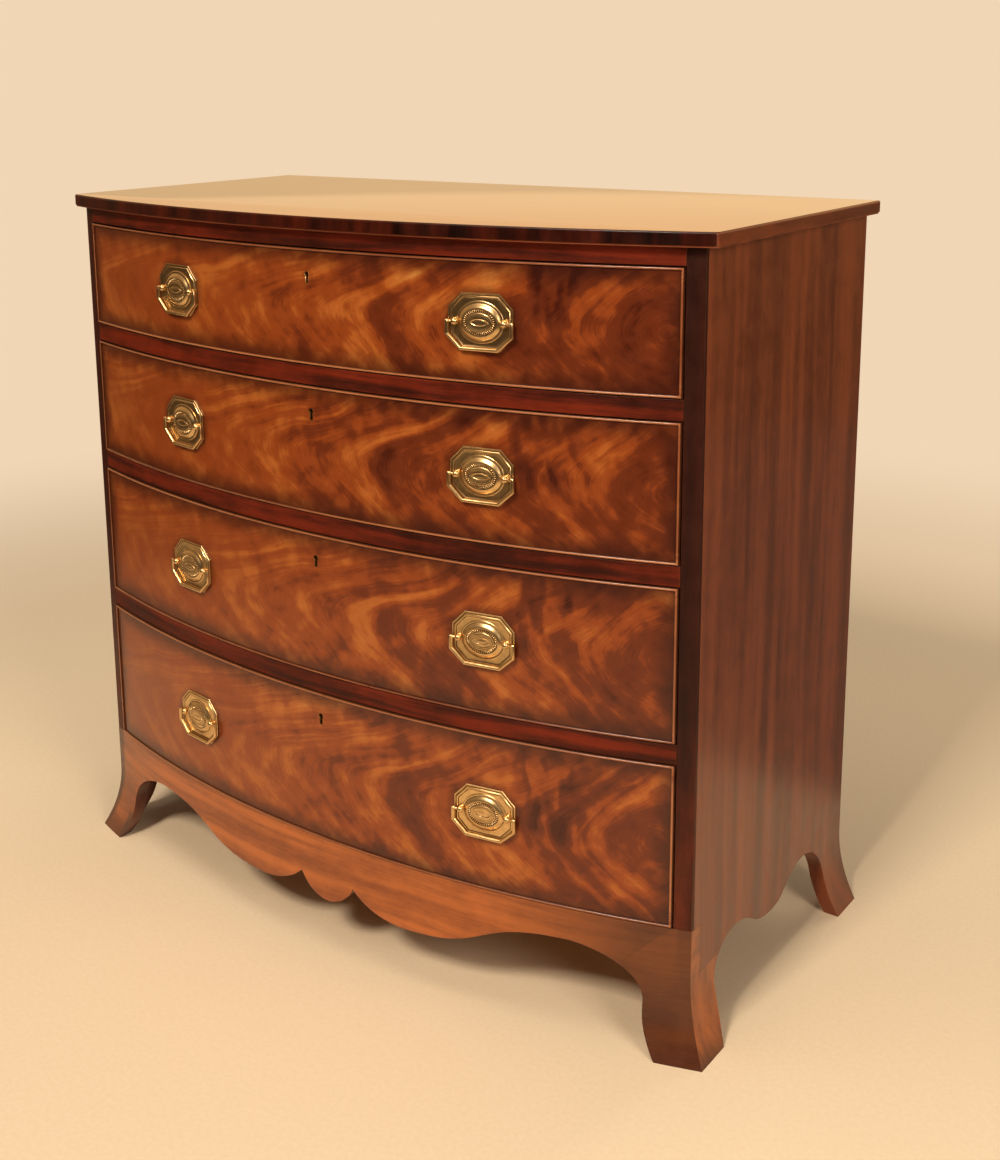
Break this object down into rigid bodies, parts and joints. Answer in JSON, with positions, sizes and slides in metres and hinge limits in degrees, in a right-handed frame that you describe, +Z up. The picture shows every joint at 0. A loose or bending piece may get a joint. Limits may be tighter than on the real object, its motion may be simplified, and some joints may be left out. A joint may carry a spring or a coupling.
{
  "type": "bow front chest of drawers",
  "caption": "Bow front chest of graduated drawers on splayed bracket feet, with a shaped apron, cock-beaded drawer fronts and octagonal plates with bail handles.",
  "frame": {"origin": "on the floor under the middle of the bounding box", "axes": "+X across to the right, +Y towards the back, +Z up; the bowed front faces -Y"},
  "size_m": [1.054, 0.544, 0.991],
  "materials": {
    "flame_mahogany": "french polished",
    "mahogany": "french polished",
    "side_mahogany": "french polished",
    "apron_mahogany": "french polished",
    "oak": "bare, aged",
    "pine": "bare, aged",
    "brass": "polished",
    "lock_steel": "dull"
  },
  "bodies": {
    "case": {"top_board": "mahogany", "side_left": "side_mahogany", "side_right": "side_mahogany", "back_boards": "pine", "case_bottom": "pine", "top_rail": "mahogany", "divider_1": "mahogany", "divider_2": "mahogany", "divider_3": "mahogany", "apron": "apron_mahogany", "foot_front_left": "apron_mahogany", "foot_front_right": "apron_mahogany"},
    "drawer_1": {"drawer_1_front": "flame_mahogany", "drawer_1_side_left": "oak", "drawer_1_side_right": "oak", "drawer_1_back": "oak", "drawer_1_bottom": "oak", "drawer_1_escutcheon": "brass", "drawer_1_lock_case": "lock_steel", "drawer_1_plate_left": "brass", "drawer_1_plate_right": "brass"},
    "drawer_1_bolt": {"drawer_1_lock_bolt": "lock_steel"},
    "drawer_1_bail_left": {"drawer_1_bail_left": "brass"},
    "drawer_1_bail_right": {"drawer_1_bail_right": "brass"},
    "drawer_2": {"drawer_2_front": "flame_mahogany", "drawer_2_side_left": "oak", "drawer_2_side_right": "oak", "drawer_2_back": "oak", "drawer_2_bottom": "oak", "drawer_2_escutcheon": "brass", "drawer_2_lock_case": "lock_steel", "drawer_2_plate_left": "brass", "drawer_2_plate_right": "brass"},
    "drawer_2_bolt": {"drawer_2_lock_bolt": "lock_steel"},
    "drawer_2_bail_left": {"drawer_2_bail_left": "brass"},
    "drawer_2_bail_right": {"drawer_2_bail_right": "brass"},
    "drawer_3": {"drawer_3_front": "flame_mahogany", "drawer_3_side_left": "oak", "drawer_3_side_right": "oak", "drawer_3_back": "oak", "drawer_3_bottom": "oak", "drawer_3_escutcheon": "brass", "drawer_3_lock_case": "lock_steel", "drawer_3_plate_left": "brass", "drawer_3_plate_right": "brass"},
    "drawer_3_bolt": {"drawer_3_lock_bolt": "lock_steel"},
    "drawer_3_bail_left": {"drawer_3_bail_left": "brass"},
    "drawer_3_bail_right": {"drawer_3_bail_right": "brass"},
    "drawer_4": {"drawer_4_front": "flame_mahogany", "drawer_4_side_left": "oak", "drawer_4_side_right": "oak", "drawer_4_back": "oak", "drawer_4_bottom": "oak", "drawer_4_escutcheon": "brass", "drawer_4_lock_case": "lock_steel", "drawer_4_plate_left": "brass", "drawer_4_plate_right": "brass"},
    "drawer_4_bolt": {"drawer_4_lock_bolt": "lock_steel"},
    "drawer_4_bail_left": {"drawer_4_bail_left": "brass"},
    "drawer_4_bail_right": {"drawer_4_bail_right": "brass"}
  },
  "joints": [
    {"name": "drawer_1_slide", "type": "slide", "parent": "case", "child": "drawer_1", "axis": [0, -1, 0], "range_m": [0, 0.36]},
    {"name": "drawer_1_bolt_lift", "type": "slide", "parent": "drawer_1", "child": "drawer_1_bolt", "axis": [0, 0, 1], "range_m": [0, 0.006]},
    {"name": "drawer_1_bail_left_swing", "type": "hinge", "parent": "drawer_1", "child": "drawer_1_bail_left", "pos_m": [-0.24788, -0.24559, 0.879], "axis": [-0.9872, 0.1596, 0], "range_deg": [0, 160]},
    {"name": "drawer_1_bail_right_swing", "type": "hinge", "parent": "drawer_1", "child": "drawer_1_bail_right", "pos_m": [0.24788, -0.24559, 0.879], "axis": [-0.9872, -0.1596, 0], "range_deg": [0, 160]},
    {"name": "drawer_2_slide", "type": "slide", "parent": "case", "child": "drawer_2", "axis": [0, -1, 0], "range_m": [0, 0.36]},
    {"name": "drawer_2_bolt_lift", "type": "slide", "parent": "drawer_2", "child": "drawer_2_bolt", "axis": [0, 0, 1], "range_m": [0, 0.006]},
    {"name": "drawer_2_bail_left_swing", "type": "hinge", "parent": "drawer_2", "child": "drawer_2_bail_left", "pos_m": [-0.24788, -0.24559, 0.6975], "axis": [-0.9872, 0.1596, 0], "range_deg": [0, 160]},
    {"name": "drawer_2_bail_right_swing", "type": "hinge", "parent": "drawer_2", "child": "drawer_2_bail_right", "pos_m": [0.24788, -0.24559, 0.6975], "axis": [-0.9872, -0.1596, 0], "range_deg": [0, 160]},
    {"name": "drawer_3_slide", "type": "slide", "parent": "case", "child": "drawer_3", "axis": [0, -1, 0], "range_m": [0, 0.36]},
    {"name": "drawer_3_bolt_lift", "type": "slide", "parent": "drawer_3", "child": "drawer_3_bolt", "axis": [0, 0, 1], "range_m": [0, 0.006]},
    {"name": "drawer_3_bail_left_swing", "type": "hinge", "parent": "drawer_3", "child": "drawer_3_bail_left", "pos_m": [-0.24788, -0.24559, 0.494], "axis": [-0.9872, 0.1596, 0], "range_deg": [0, 160]},
    {"name": "drawer_3_bail_right_swing", "type": "hinge", "parent": "drawer_3", "child": "drawer_3_bail_right", "pos_m": [0.24788, -0.24559, 0.494], "axis": [-0.9872, -0.1596, 0], "range_deg": [0, 160]},
    {"name": "drawer_4_slide", "type": "slide", "parent": "case", "child": "drawer_4", "axis": [0, -1, 0], "range_m": [0, 0.36]},
    {"name": "drawer_4_bolt_lift", "type": "slide", "parent": "drawer_4", "child": "drawer_4_bolt", "axis": [0, 0, 1], "range_m": [0, 0.006]},
    {"name": "drawer_4_bail_left_swing", "type": "hinge", "parent": "drawer_4", "child": "drawer_4_bail_left", "pos_m": [-0.24788, -0.24559, 0.2695], "axis": [-0.9872, 0.1596, 0], "range_deg": [0, 160]},
    {"name": "drawer_4_bail_right_swing", "type": "hinge", "parent": "drawer_4", "child": "drawer_4_bail_right", "pos_m": [0.24788, -0.24559, 0.2695], "axis": [-0.9872, -0.1596, 0], "range_deg": [0, 160]}
  ]
}
